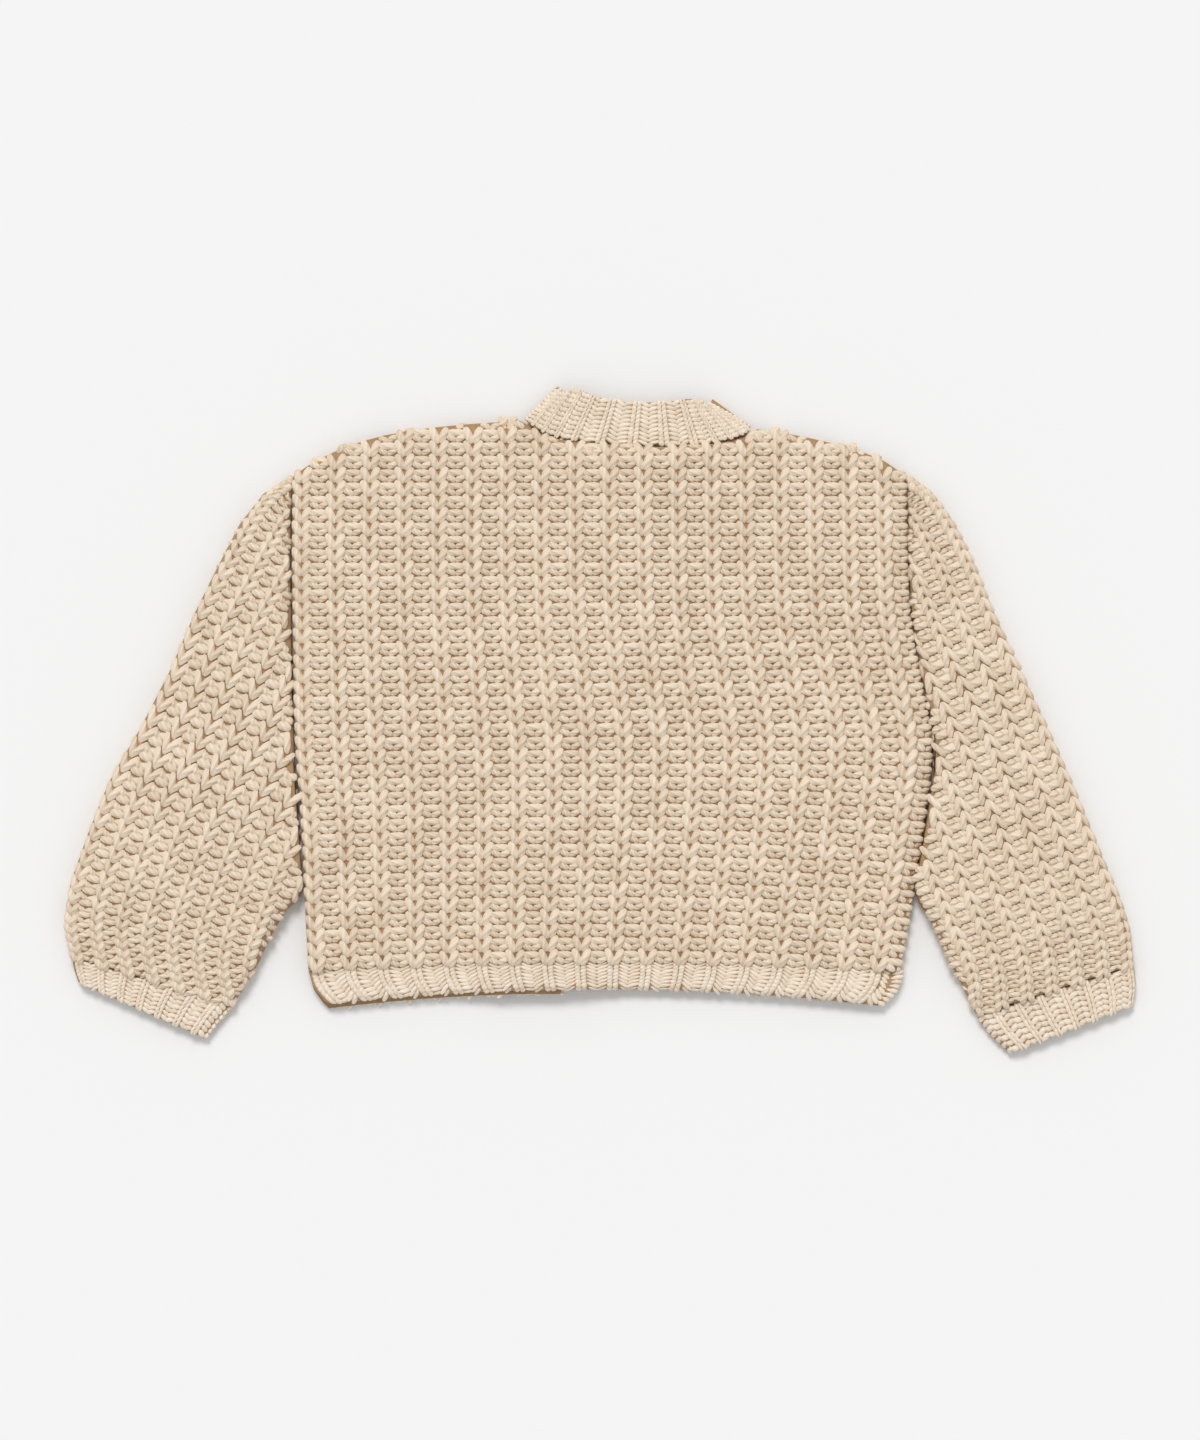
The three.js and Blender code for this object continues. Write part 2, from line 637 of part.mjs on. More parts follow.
// The body's side edge as its panels have it, straight between their rows.
function sidePolyline(sideX, y) {
  const above = SIDE_ROWS.findIndex((rowY) => rowY >= y);
  const i = clamp(above, 1, SIDE_ROWS.length - 1);
  const [low, high] = [SIDE_ROWS[i - 1], SIDE_ROWS[i]];
  return lerp(sideX(low), sideX(high), (y - low) / (high - low));
}

function cuff(name, rows) {
  const rings = steps(0, rows.length - 1, 2).map((at) => {
    const outer = new THREE.Vector2(smoothRow(rows, 'outerX', at), smoothRow(rows, 'outerY', at));
    const inner = new THREE.Vector2(smoothRow(rows, 'innerX', at), smoothRow(rows, 'innerY', at));
    const place = (share) => outer.clone().lerp(inner, share);
    return flatRing({ outer, inner, top: smoothRow(rows, 'top', at), bottom: 0 }, place, [], 1);
  });
  return piece(name, pipe(rings), RIB_KNIT);
}

// ---- Neckband ----
// One strip: along the left front, round the fold at the left shoulder, behind the neck,
// round the fold at the right shoulder and along the right front.
function neckSection(seam, free, z, outward, tilt) {
  const across = new THREE.Vector3(outward.x * Math.cos(tilt), outward.y * Math.cos(tilt), Math.sin(tilt));
  const half = across.multiplyScalar(RIB / 2);
  const a = new THREE.Vector3(seam.x, seam.y, z);
  const b = new THREE.Vector3(free.x, free.y, z);
  return [a.clone().add(half), b.clone().add(half), b.clone().sub(half), a.clone().sub(half)];
}

function backNeckPoint(step) {
  const x = lerp(NECK.left, NECK.right, step / NECK_STEPS);
  const whole = Math.min(Math.floor(step), NECK_STEPS - 1);
  const x0 = lerp(NECK.left, NECK.right, whole / NECK_STEPS);
  const x1 = lerp(NECK.left, NECK.right, (whole + 1) / NECK_STEPS);
  return new THREE.Vector2(x, lerp(backTopY(x0), backTopY(x1), step - whole) + 2 * SEAM);
}

function neckband() {
  const last = NECKBAND_BACK.length - 1;
  const upperZ = NECKBAND_LOW + RIB / 2;
  const lowerZ = RIB / 2;
  const turn = (upperZ - lowerZ) / 2;
  const middleX = (NECK.left + NECK.right) / 2;
  const halfX = (NECK.right - NECK.left) / 2 - 2 * SEAM;
  const flat = new THREE.Vector2(0, 0);

  const folded = (row, side) => {
    const seam = backNeckPoint(row.step);
    const free = new THREE.Vector2(row.topX, row.topY);
    const rise = free.clone().sub(seam).normalize();
    const outward = new THREE.Vector2(-rise.y, rise.x).multiplyScalar(-side);
    return { seam, free, outward };
  };
  const foldSections = (row, side) => {
    const { seam, free, outward } = folded(row, side);
    return steps(Math.PI / 2, -Math.PI / 2, FOLD_STEPS).map((tilt) => {
      const shift = outward.clone().multiplyScalar(turn * Math.cos(tilt));
      const z = lowerZ + turn + turn * Math.sin(tilt);
      return neckSection(seam.clone().add(shift), free.clone().add(shift), z, outward, tilt);
    });
  };
  // A front stretch goes down its side of the neckline, and its end lies over the bands.
  const frontSections = (row, side) => {
    const { seam: start, free: startFree } = folded(row, side);
    const endX = centreX(NECK.leftY - NECK.frontDrop) - side * BAND_HALF;
    const endAngle = Math.acos(clamp((side * (endX - middleX)) / halfX, -1, 1));
    const free = startFree.clone().sub(start).normalize();
    return steps(0, 1, FRONT_NECK_STEPS).slice(1).map((t) => {
      const angle = lerp(0.12, endAngle, t);
      const level = lerp(NECK.rightY, NECK.leftY, (1 - side * Math.cos(angle)) / 2);
      const drop = NECK.frontDrop - 2 * SEAM;
      const seam = new THREE.Vector2(middleX + side * halfX * Math.cos(angle), level - drop * Math.sin(angle));
      const inwards = new THREE.Vector2(-side * Math.cos(angle), Math.sin(angle));
      const rise = free.clone().lerp(inwards, clamp(t * 2.5, 0, 1)).normalize();
      const top = seam.clone().addScaledVector(rise, NECKBAND_HEIGHT);
      const ramp = side < 0 ? bandRamp(seam.x, seam.y, true) : bandRamp(seam.x, seam.y, false, true);
      const z = lowerZ + ramp * (side < 0 ? LEFT_BAND_LOW : RIGHT_BAND_LOW);
      return neckSection(seam, top, z, flat, -Math.PI / 2);
    });
  };
  const back = steps(0, last, 3 * NECK_STEPS / 2).slice(1, -1).map((at) => {
    const seam = backNeckPoint(smoothRow(NECKBAND_BACK, 'step', at));
    const free = new THREE.Vector2(smoothRow(NECKBAND_BACK, 'topX', at), smoothRow(NECKBAND_BACK, 'topY', at));
    return neckSection(seam, free, upperZ, flat, Math.PI / 2);
  });
  const left = [...foldSections(NECKBAND_BACK[0], -1), ...frontSections(NECKBAND_BACK[0], -1)].reverse();
  const right = [...foldSections(NECKBAND_BACK[last], 1), ...frontSections(NECKBAND_BACK[last], 1)];
  return piece('neckband', bar([...left, ...back, ...right]), RIB_KNIT);
}

// ---- The whole cardigan, with its origin under the middle of its outline ----
const cardigan = new THREE.Group();
cardigan.add(
  backPanel(),
  leftFront(),
  rightFront(),
  backHem(),
  leftFrontHem(),
  rightFrontHem(),
  frontBand('right_front_band', RIGHT_BAND_LOW, FRONT_HEM_EXTRA.right, true),
  frontBand('left_front_band', LEFT_BAND_LOW, FRONT_HEM_EXTRA.left, false),
  ...BUTTON_YS.map((y, i) => button(i + 1, y)),
  sleeve('left_sleeve', LEFT_SLEEVE, LEFT_SLEEVE_FOLDS, leftSide, -1),
  sleeve('right_sleeve', RIGHT_SLEEVE, RIGHT_SLEEVE_FOLDS, rightSide, 1),
  cuff('left_cuff', LEFT_CUFF),
  cuff('right_cuff', RIGHT_CUFF),
  neckband(),
);
cardigan.updateMatrixWorld(true);
const outline = new THREE.Box3().setFromObject(cardigan);
const middle = outline.getCenter(new THREE.Vector3());
cardigan.position.set(-middle.x, -middle.y, -outline.min.z);

export default cardigan;
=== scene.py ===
"""A child's chunky knitted cardigan, laid flat with its back up.

Every panel is a thin shell on its own solid, covered with separate loops of plied yarn. The
loops are laid out by wale and row, and Geometry Nodes sets one grain of yarn on each place.
"""

import math

import bmesh
import bpy
from bpy.props import FloatProperty, IntProperty, PointerProperty
from mathutils import Matrix, Vector
from mathutils.bvhtree import BVHTree


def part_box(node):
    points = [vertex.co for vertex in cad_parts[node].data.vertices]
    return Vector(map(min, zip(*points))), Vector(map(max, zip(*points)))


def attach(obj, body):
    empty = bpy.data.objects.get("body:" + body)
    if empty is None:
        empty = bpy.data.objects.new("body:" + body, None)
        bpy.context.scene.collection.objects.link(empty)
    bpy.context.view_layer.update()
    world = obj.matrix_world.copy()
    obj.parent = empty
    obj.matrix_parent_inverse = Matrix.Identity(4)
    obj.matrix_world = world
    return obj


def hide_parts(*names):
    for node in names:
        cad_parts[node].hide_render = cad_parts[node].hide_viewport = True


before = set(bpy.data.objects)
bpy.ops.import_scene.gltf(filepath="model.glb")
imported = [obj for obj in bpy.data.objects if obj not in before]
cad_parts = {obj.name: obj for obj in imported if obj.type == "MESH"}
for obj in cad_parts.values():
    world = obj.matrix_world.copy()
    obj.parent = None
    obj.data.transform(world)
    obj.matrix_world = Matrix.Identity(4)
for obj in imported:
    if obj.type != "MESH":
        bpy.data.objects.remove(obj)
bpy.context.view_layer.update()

bl_info = {
    "name": "Chunky cardigan",
    "version": (1, 0, 0),
    "blender": (4, 5, 0),
    "location": "3D View > Sidebar > Cardigan",
    "description": "Knits a child's chunky cardigan over its laid solids",
    "category": "Object",
}

MM = 0.001

# ---- Sizes of the laid cardigan, in millimetres ----
SIDES = (
    {"y": -150, "left": -174, "right": 180},
    {"y": -105, "left": -176.5, "right": 188},
    {"y": -60, "left": -178.5, "right": 195},
    {"y": -15, "left": -182, "right": 200},
    {"y": 20, "left": -183, "right": 194},
    {"y": 60, "left": -183.5, "right": 187},
    {"y": 100, "left": -184, "right": 185},
    {"y": 180, "left": -183, "right": 184},
)
HEM = {"seam": -145, "seam_drop": 5, "edge": -161.5, "edge_drop": 9.5, "half": 175, "taper": 0.93}
LEFT_SLEEVE = (
    {"x": -186, "y": 147, "lean": 34},
    {"x": -205, "y": 130, "lean": 31},
    {"x": -223, "y": 99, "lean": 29},
    {"x": -244, "y": 60, "lean": 27},
    {"x": -265, "y": 12, "lean": 25},
    {"x": -292, "y": -34, "lean": 23},
    {"x": -309, "y": -76, "lean": 20},
    {"x": -320.5, "y": -114, "lean": 17},
    {"x": -316.5, "y": -144, "lean": 16},
)
RIGHT_SLEEVE = (
    {"x": 186, "y": 147, "lean": -33},
    {"x": 204, "y": 131, "lean": -31},
    {"x": 222, "y": 99, "lean": -28},
    {"x": 238, "y": 60, "lean": -26},
    {"x": 260, "y": 14, "lean": -25},
    {"x": 280, "y": -30, "lean": -24},
    {"x": 299, "y": -76, "lean": -22},
    {"x": 316, "y": -118, "lean": -19},
    {"x": 320.5, "y": -149, "lean": -17},
)
LEFT_CUFF = (
    {"outer_x": -316, "outer_y": -142.4, "inner_x": -219.4, "inner_y": -171.4},
    {"outer_x": -314.5, "outer_y": -150, "inner_x": -228, "inner_y": -181},
    {"outer_x": -312, "outer_y": -157.5, "inner_x": -235.5, "inner_y": -191},
)
RIGHT_CUFF = (
    {"outer_x": 320.8, "outer_y": -147.4, "inner_x": 226.3, "inner_y": -177.5},
    {"outer_x": 322, "outer_y": -158.5, "inner_x": 234.5, "inner_y": -189},
    {"outer_x": 320.5, "outer_y": -170.5, "inner_x": 246, "inner_y": -200},
)
NECK_BACK = (
    {"seam_x": -42, "seam_y": 178, "top_x": -24, "top_y": 198},
    {"seam_x": -30, "seam_y": 171, "top_x": -14, "top_y": 198},
    {"seam_x": -10, "seam_y": 167, "top_x": 0, "top_y": 193},
    {"seam_x": 24, "seam_y": 164.5, "top_x": 26, "top_y": 190},
    {"seam_x": 58, "seam_y": 165, "top_x": 50, "top_y": 191.5},
    {"seam_x": 78, "seam_y": 168.5, "top_x": 61, "top_y": 191},
    {"seam_x": 89, "seam_y": 173, "top_x": 67, "top_y": 188},
)
NECK = {"middle": 24, "half": 70.4, "level": 176.5, "drop": 47.4, "height": 26}
BAND = {"top_x": 20, "top_y": 130, "bottom_x": -38, "bottom_y": -170, "half": 14}
BUTTONS = [f"button_{number}" for number in range(1, 6)]
# Share of the radius, and height in millimetres: dished face, rolled rim, flat back and shank
BUTTON_SECTION = (
    (0.0, 0.9),
    (0.55, 0.8),
    (0.68, 0.2),
    (0.86, 0.0),
    (0.97, 0.35),
    (1.0, 1.0),
    (1.0, 1.8),
    (0.95, 2.4),
    (0.85, 2.6),
    (0.18, 2.6),
    (0.18, 6.9),
    (0.0, 6.9),
)

# ---- Loops of yarn: a line for each grain of one repeat ----
# Across is in repeats from its middle, up is in rows, turn is in degrees from the wale, and the
# rest are millimetres. Sunk is how much deeper than its neighbours a grain lies.
THICK_RIB = (
    {"across": -0.385, "up": 0.0, "turn": 22, "width": 5.7, "length": 11.2, "height": 5.4, "sunk": -0.1},
    {"across": -0.115, "up": 0.0, "turn": -22, "width": 5.7, "length": 11.2, "height": 5.4, "sunk": -0.1},
    {"across": 0.25, "up": 0.2, "turn": 90, "width": 4.9, "length": 11.4, "height": 5.0, "sunk": 0.0},
    {"across": 0.11, "up": -0.22, "turn": 62, "width": 4.4, "length": 7.2, "height": 4.6, "sunk": 0.3},
    {"across": 0.39, "up": -0.22, "turn": -62, "width": 4.4, "length": 7.2, "height": 4.6, "sunk": 0.3},
)
FINE_RIB = (
    {"across": -0.34, "up": 0.0, "turn": 7, "width": 3.0, "length": 4.8, "height": 2.7, "sunk": -0.2},
    {"across": -0.16, "up": 0.0, "turn": -7, "width": 3.0, "length": 4.8, "height": 2.7, "sunk": -0.2},
    {"across": 0.10, "up": 0.0, "turn": 68, "width": 3.0, "length": 6.6, "height": 2.3, "sunk": 0.1},
    {"across": 0.40, "up": 0.0, "turn": -68, "width": 3.0, "length": 6.6, "height": 2.3, "sunk": 0.1},
)
NARROWER_KNIT = 0.86
SHORTER_PURL = 0.84
SLEEVE_RIB = tuple(
    dict(
        grain,
        width=grain["width"] * (NARROWER_KNIT if abs(grain["turn"]) < 45 else 1.0),
        length=grain["length"] * (SHORTER_PURL if abs(grain["turn"]) > 45 else 1.0),
    )
    for grain in THICK_RIB
)
BODY_REPEATS, BODY_ROWS = 18, 42
BODY_START = -145.5
BODY_LEVEL_FROM = 20
HEM_ROWS = 8
CUFF_REPEATS, CUFF_ROWS = 7, 7
NECK_BACK_REPEATS, NECK_FRONT_REPEATS, NECK_ROWS = 11, 14, 10
BAND_ROWS = 112
BODY_REPEAT, BODY_ROW = 20.6, 8.0
SLEEVE_REPEAT, SLEEVE_ROW = 15.9, 7.9
RIB_REPEAT, RIB_ROW = 15.0, 2.7

# ---- How deep the loops' middles and the shell lie under a solid's surface, in millimetres ----
THICK_SUNK, THICK_SUNK_BELOW = 1.6, 3.2
FINE_SUNK, FINE_SUNK_BELOW = 0.9, 1.7
THICK_INSET, FINE_INSET = 1.8, 0.9
SIDEWAYS_INSET = 0.15
LOOK_FROM = 60.0
LEAST_SLOPE = 0.2
LIE_FLAT = 0.7


def smooth_between(rows, key, column, at):
    """A smooth value between the rows of a table whose key column rises."""
    last = len(rows) - 1
    i = 0
    while i < last - 1 and at > rows[i + 1][key]:
        i += 1

    def slope(k):
        before, after = rows[max(k - 1, 0)], rows[min(k + 1, last)]
        return (after[column] - before[column]) / (after[key] - before[key])

    span = rows[i + 1][key] - rows[i][key]
    t = min(max((at - rows[i][key]) / span, 0.0), 1.0)
    keep = 2 * t**3 - 3 * t**2 + 1
    bend = (t**3 - 2 * t**2 + t) * slope(i) + (t**3 - t**2) * slope(i + 1)
    inside = keep * rows[i][column] + (1 - keep) * rows[i + 1][column] + bend * span
    before = min(at - rows[0][key], 0.0)
    after = max(at - rows[last][key], 0.0)
    return inside + slope(0) * before + slope(last) * after


def smooth_row(rows, column, share):
    """A smooth value along a whole table, from its first row at 0 to its last at 1."""
    numbered = [dict(row, number=n) for n, row in enumerate(rows)]
    return smooth_between(numbered, "number", column, share * (len(rows) - 1))


def mix(a, b, t):
    return a + (b - a) * t


def seam_y(x):
    return HEM["seam"] - HEM["seam_drop"] * (x / HEM["half"]) ** 2


def edge_y(x):
    return HEM["edge"] - HEM["edge_drop"] * (x / HEM["half"]) ** 2


def band_x(y):
    rise = (y - BAND["bottom_y"]) / (BAND["top_y"] - BAND["bottom_y"])
    return mix(BAND["bottom_x"], BAND["top_x"], rise)


# ---- Plans: where a repeat and a row lie on the laid cloth ----
def body_place(across, row):
    """Wales spread between the side edges. Rows are level, but follow the hem's bow low down."""
    y = BODY_START + row * BODY_ROW
    share = across / BODY_REPEATS
    x = mix(smooth_between(SIDES, "y", "left", y), smooth_between(SIDES, "y", "right", y), share)
    bow = HEM["seam_drop"] * (x / HEM["half"]) ** 2
    return Vector((x, y - bow * max(0.0, 1 - row / BODY_LEVEL_FROM)))


def sleeve_place(table):
    """Wales follow the sleeve's outer edge; rows run square to its axis."""
    side = 1 if table[0]["x"] < 0 else -1
    total = sum(
        math.dist((a["x"], a["y"]), (b["x"], b["y"])) for a, b in zip(table, table[1:])
    )
    rows = round(total / SLEEVE_ROW)

    def place(across, row):
        share = row / rows
        outer = Vector((smooth_row(table, "x", share), smooth_row(table, "y", share)))
        lean = math.radians(smooth_row(table, "lean", share))
        inward = Vector((math.cos(lean), -math.sin(lean))) * side
        return outer + inward * (across * SLEEVE_REPEAT)

    return place, rows


def hem_place(across, row):
    share = across / BODY_REPEATS
    down = 1 - row / HEM_ROWS
    left = smooth_between(SIDES, "y", "left", -150)
    right = smooth_between(SIDES, "y", "right", -150)
    x = mix(left, right, share) * mix(1, HEM["taper"], down**2)
    return Vector((x, mix(seam_y(x), edge_y(x), down)))


def cuff_place(table):
    def place(across, row):
        down = row / CUFF_ROWS
        outer = Vector((smooth_row(table, "outer_x", down), smooth_row(table, "outer_y", down)))
        inner = Vector((smooth_row(table, "inner_x", down), smooth_row(table, "inner_y", down)))
        return outer.lerp(inner, across / CUFF_REPEATS)

    return place


def neck_back_place(across, row):
    share = across / NECK_BACK_REPEATS
    seam, top = (
        Vector((
            smooth_row(NECK_BACK, f"{line}_x", share),
            smooth_row(NECK_BACK, f"{line}_y", share),
        ))
        for line in ("seam", "top")
    )
    return seam.lerp(top, row / NECK_ROWS)


def neck_front_place(across, row):
    angle = math.pi * (1 - across / NECK_FRONT_REPEATS)
    out = Vector((math.cos(angle), -math.sin(angle)))
    seam = Vector((
        NECK["middle"] + NECK["half"] * out.x,
        NECK["level"] + NECK["drop"] * out.y,
    ))
    return seam - out * NECK["height"] * row / NECK_ROWS


def band_place(across, row):
    y = BAND["bottom_y"] + row * RIB_ROW
    return Vector((band_x(y) - BAND["half"] + across * BAND["half"], y))


# ---- Materials ----
class Maths:
    """Wraps a number socket, so that shader maths reads as sums."""

    def __init__(self, tree, socket):
        self.tree, self.socket = tree, socket

    def _with(self, operation, *others):
        node = self.tree.nodes.new("ShaderNodeMath")
        node.operation = operation
        for pin, value in zip(node.inputs, (self, *others)):
            if isinstance(value, Maths):
                self.tree.links.new(value.socket, pin)
            else:
                pin.default_value = value
        return Maths(self.tree, node.outputs[0])

    def __add__(self, other):
        return self._with("ADD", other)

    def __mul__(self, other):
        return self._with("MULTIPLY", other)

    def __rmul__(self, other):
        return self * other

    def __radd__(self, other):
        return self + other

    def sine(self):
        return self._with("SINE")


def node(tree, kind, settings=None, inputs=None):
    made = tree.nodes.new(kind)
    for name, value in (settings or {}).items():
        setattr(made, name, value)
    for name, value in (inputs or {}).items():
        if isinstance(value, Maths):
            tree.links.new(value.socket, made.inputs[name])
        elif isinstance(value, bpy.types.NodeSocket):
            tree.links.new(value, made.inputs[name])
        else:
            made.inputs[name].default_value = value
    return made


def plied_yarn(name, dark, light, plies, bump_mm):
    """Matt yarn of twisted plies, whose tone changes a little from loop to loop."""
    material = bpy.data.materials.new(name)
    material.use_nodes = True
    tree = material.node_tree
    shader = tree.nodes["Principled BSDF"]
    shader.inputs["Sheen Weight"].default_value = 0.15
    shader.inputs["Sheen Roughness"].default_value = 0.6
    shader.inputs["Specular IOR Level"].default_value = 0.15
    around = node(tree, "ShaderNodeUVMap", {"uv_map": "yarn"})
    parts = node(tree, "ShaderNodeSeparateXYZ", inputs={"Vector": around.outputs[0]})
    u = Maths(tree, parts.outputs["X"])
    v = Maths(tree, parts.outputs["Y"])
    place = node(tree, "ShaderNodeTexCoord")
    fuzz = node(tree, "ShaderNodeTexNoise", {"noise_dimensions": "3D"}, {
        "Vector": place.outputs["Object"], "Scale": 900.0, "Detail": 3.0, "Roughness": 0.65})
    patches = node(tree, "ShaderNodeTexNoise", {"noise_dimensions": "3D"}, {
        "Vector": place.outputs["Object"], "Scale": 14.0, "Detail": 2.0})
    twist = (u * (2 * math.pi * plies) + v * 9.0).sine() * 0.5 + 0.5
    fibre = Maths(tree, fuzz.outputs["Fac"])
    height = twist * 0.75 + fibre * 0.5
    tone = node(tree, "ShaderNodeAttribute", {"attribute_name": "tone"})
    loop_tone = Maths(tree, tone.outputs["Fac"])
    shade = twist * 0.16 + fibre * 0.2 + loop_tone * 0.3 + Maths(tree, patches.outputs["Fac"]) * 0.2 + 0.15
    ramp = node(tree, "ShaderNodeValToRGB", inputs={"Fac": shade})
    ramp.color_ramp.elements[0].position = 0.22
    ramp.color_ramp.elements[0].color = (*dark, 1)
    ramp.color_ramp.elements[1].position = 0.78
    ramp.color_ramp.elements[1].color = (*light, 1)
    tree.links.new(ramp.outputs["Color"], shader.inputs["Base Color"])
    rough = fibre * 0.1 + 0.85
    tree.links.new(rough.socket, shader.inputs["Roughness"])
    bump = node(tree, "ShaderNodeBump", inputs={
        "Height": height, "Strength": 0.85, "Distance": bump_mm * MM})
    tree.links.new(bump.outputs["Normal"], shader.inputs["Normal"])
    return material


def painted_shade_cloth(name, dark, light):
    """The heart of the knit, seen only between the loops, in dark browns of painted shade that stand for
    the shadow deep between the loops.
    """
    material = bpy.data.materials.new(name)
    material.use_nodes = True
    tree = material.node_tree
    shader = tree.nodes["Principled BSDF"]
    shader.inputs["Specular IOR Level"].default_value = 0.1
    place = node(tree, "ShaderNodeTexCoord")
    fuzz = node(tree, "ShaderNodeTexNoise", inputs={
        "Vector": place.outputs["Object"], "Scale": 420.0, "Detail": 3.0})
    # Painted shade: the ramp runs between two dark browns, far darker than the yarn, for the shadow between
    # the loops.
    ramp = node(tree, "ShaderNodeValToRGB", inputs={"Fac": fuzz.outputs["Fac"]})
    ramp.color_ramp.elements[0].color = (*dark, 1)
    ramp.color_ramp.elements[1].color = (*light, 1)
    tree.links.new(ramp.outputs["Color"], shader.inputs["Base Color"])
    rough = Maths(tree, fuzz.outputs["Fac"]) * 0.1 + 0.88
    tree.links.new(rough.socket, shader.inputs["Roughness"])
    bump = node(tree, "ShaderNodeBump", inputs={
        "Height": fuzz.outputs["Fac"], "Strength": 0.4, "Distance": 0.4 * MM})
    tree.links.new(bump.outputs["Normal"], shader.inputs["Normal"])
    return material


def horn(name):
    """Plain pale horn-like plastic with faint clouding."""
    material = bpy.data.materials.new(name)
    material.use_nodes = True
    tree = material.node_tree
    shader = tree.nodes["Principled BSDF"]
    place = node(tree, "ShaderNodeTexCoord")
    cloud = node(tree, "ShaderNodeTexNoise", inputs={
        "Vector": place.outputs["Object"], "Scale": 160.0, "Detail": 4.0})
    ramp = node(tree, "ShaderNodeValToRGB", inputs={"Fac": cloud.outputs["Fac"]})
    ramp.color_ramp.elements[0].color = (0.55, 0.38, 0.2, 1)
    ramp.color_ramp.elements[1].color = (0.78, 0.64, 0.43, 1)
    tree.links.new(ramp.outputs["Color"], shader.inputs["Base Color"])
    rough = Maths(tree, cloud.outputs["Fac"]) * 0.2 + 0.28
    tree.links.new(rough.socket, shader.inputs["Roughness"])
    return material


def finish(name):
    """Each finish is made once."""
    made = bpy.data.materials.get(name)
    if made:
        return made
    if name == "body yarn":
        return plied_yarn(name, (0.70, 0.545, 0.39), (0.91, 0.77, 0.61), 3, 0.9)
    if name == "rib yarn":
        return plied_yarn(name, (0.74, 0.60, 0.45), (0.93, 0.81, 0.67), 2, 0.4)
    if name == "horn":
        return horn(name)
    # Anything else is the cloth under the loops, coloured dark brown as painted shade for the shadow
    # between them.
    return painted_shade_cloth(name, (0.34, 0.20, 0.10), (0.50, 0.33, 0.19))


# ---- Pieces ----
def object_from(name, mesh):
    made = bpy.data.objects.new(name, mesh)
    bpy.context.collection.objects.link(made)
    return made


def node_surface(*names):
    """The solids' surfaces, to lay loops on."""
    points, faces = [], []
    for name in names:
        mesh = bpy.data.objects[name].data
        start = len(points)
        points += [vertex.co.copy() for vertex in mesh.vertices]
        faces += [[start + i for i in face.vertices] for face in mesh.polygons]
    return BVHTree.FromPolygons(points, faces)


def shell(name, inset):
    """A smooth shell a little inside a solid, for the loops to lie on."""
    mesh = bpy.data.objects[name].data.copy()
    work = bmesh.new()
    work.from_mesh(mesh)
    bmesh.ops.remove_doubles(work, verts=work.verts, dist=1e-6)
    work.normal_update()
    moved = []
    for vertex in work.verts:
        outward = Vector((
            vertex.normal.x * SIDEWAYS_INSET,
            vertex.normal.y * SIDEWAYS_INSET,
            vertex.normal.z,
        ))
        moved.append((vertex, vertex.co - outward * inset * MM))
    for vertex, place in moved:
        vertex.co = place
    work.to_mesh(mesh)
    work.free()
    mesh.materials.clear()
    # The shell is coloured with painted shade, dark brown for the shadow seen between the loops.
    mesh.materials.append(finish("knit heart in painted shade"))
    mesh.polygons.foreach_set("use_smooth", [True] * len(mesh.polygons))
    return object_from(f"{name}_cloth", mesh)


def grain_of_yarn():
    """One grain, a unit long and wide: a rounded tube that tapers at both ends."""
    made = bpy.data.objects.get("yarn grain")
    if made:
        return made
    sides = 6
    profile = ((-0.42, 0.62), (-0.16, 0.98), (0.16, 0.98), (0.42, 0.62))
    work = bmesh.new()
    uv = work.loops.layers.uv.new("yarn")
    rings = []
    for along, wide in profile:
        ring = []
        for side in range(sides):
            angle = 2 * math.pi * (side + 0.5) / sides
            ring.append(work.verts.new((
                0.5 * wide * math.cos(angle), along, 0.5 * wide * math.sin(angle))))
        rings.append(ring)
    ends = (work.verts.new((0, -0.5, 0)), work.verts.new((0, 0.5, 0)))

    def face(verts, places):
        made_face = work.faces.new(verts)
        made_face.smooth = True
        for loop, place in zip(made_face.loops, places):
            loop[uv].uv = place

    for side in range(sides):
        after = (side + 1) % sides
        u0, u1 = side / sides, (side + 1) / sides
        for lower, upper, (v0, _), (v1, _) in zip(rings, rings[1:], profile, profile[1:]):
            face((lower[side], upper[side], upper[after], lower[after]),
                 ((u0, v0 + 0.5), (u0, v1 + 0.5), (u1, v1 + 0.5), (u1, v0 + 0.5)))
        face((ends[0], rings[0][side], rings[0][after]), ((u0, 0), (u0, 0.08), (u1, 0.08)))
        face((ends[1], rings[-1][after], rings[-1][side]), ((u1, 1), (u1, 0.92), (u0, 0.92)))
    bmesh.ops.recalc_face_normals(work, faces=work.faces)
    mesh = bpy.data.meshes.new("yarn grain")
    work.to_mesh(mesh)
    work.free()
    return bpy.data.objects.new("yarn grain", mesh)


